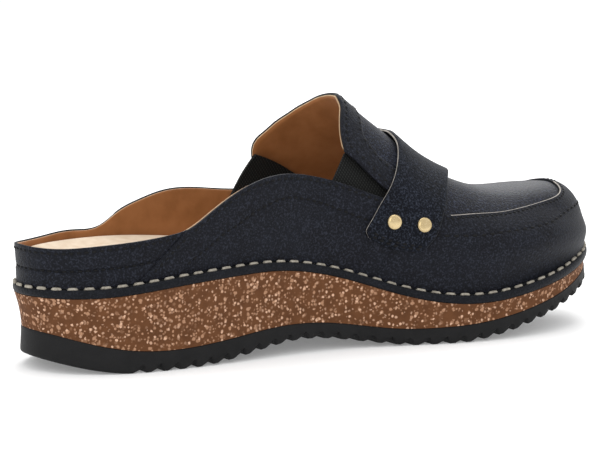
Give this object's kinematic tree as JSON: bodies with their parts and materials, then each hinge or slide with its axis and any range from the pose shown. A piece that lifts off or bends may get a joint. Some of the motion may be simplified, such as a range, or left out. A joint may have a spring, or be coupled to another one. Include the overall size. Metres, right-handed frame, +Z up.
{
  "type": "clog",
  "caption": "Closed-front clog with an open heel, cork platform midsole, ribbed rubber outsole, raised apron seam, elastic gores and a riveted saddle strap.",
  "frame": {"origin": "centre of the bounding box in plan, on the floor under the tread", "axes": "+X from heel to toe, +Y towards the outer side of this left shoe, +Z up"},
  "size_m": [0.2644, 0.0966, 0.1021],
  "materials": {
    "navy_leather": "fine pebbled navy leather, low sheen",
    "navy_strap": "navy leather with raw lighter cut edge",
    "navy_rand": "navy leather rand with pale stitching",
    "cork": "pressed cork with pale granules, matt",
    "rubber": "matt black rubber",
    "suede": "cream suede footbed cover",
    "elastic": "black woven elastic",
    "gold": "pale gold flat rivet head"
  },
  "bodies": {
    "root": {"outsole": "rubber", "midsole": "cork", "rand": "navy_rand", "footbed": "suede", "upper": "navy_leather", "strap": "navy_strap", "gore_inner": "elastic", "gore_outer": "elastic", "rivet_inner_1": "gold", "rivet_inner_2": "gold", "rivet_outer_1": "gold", "rivet_outer_2": "gold"}
  },
  "joints": []
}
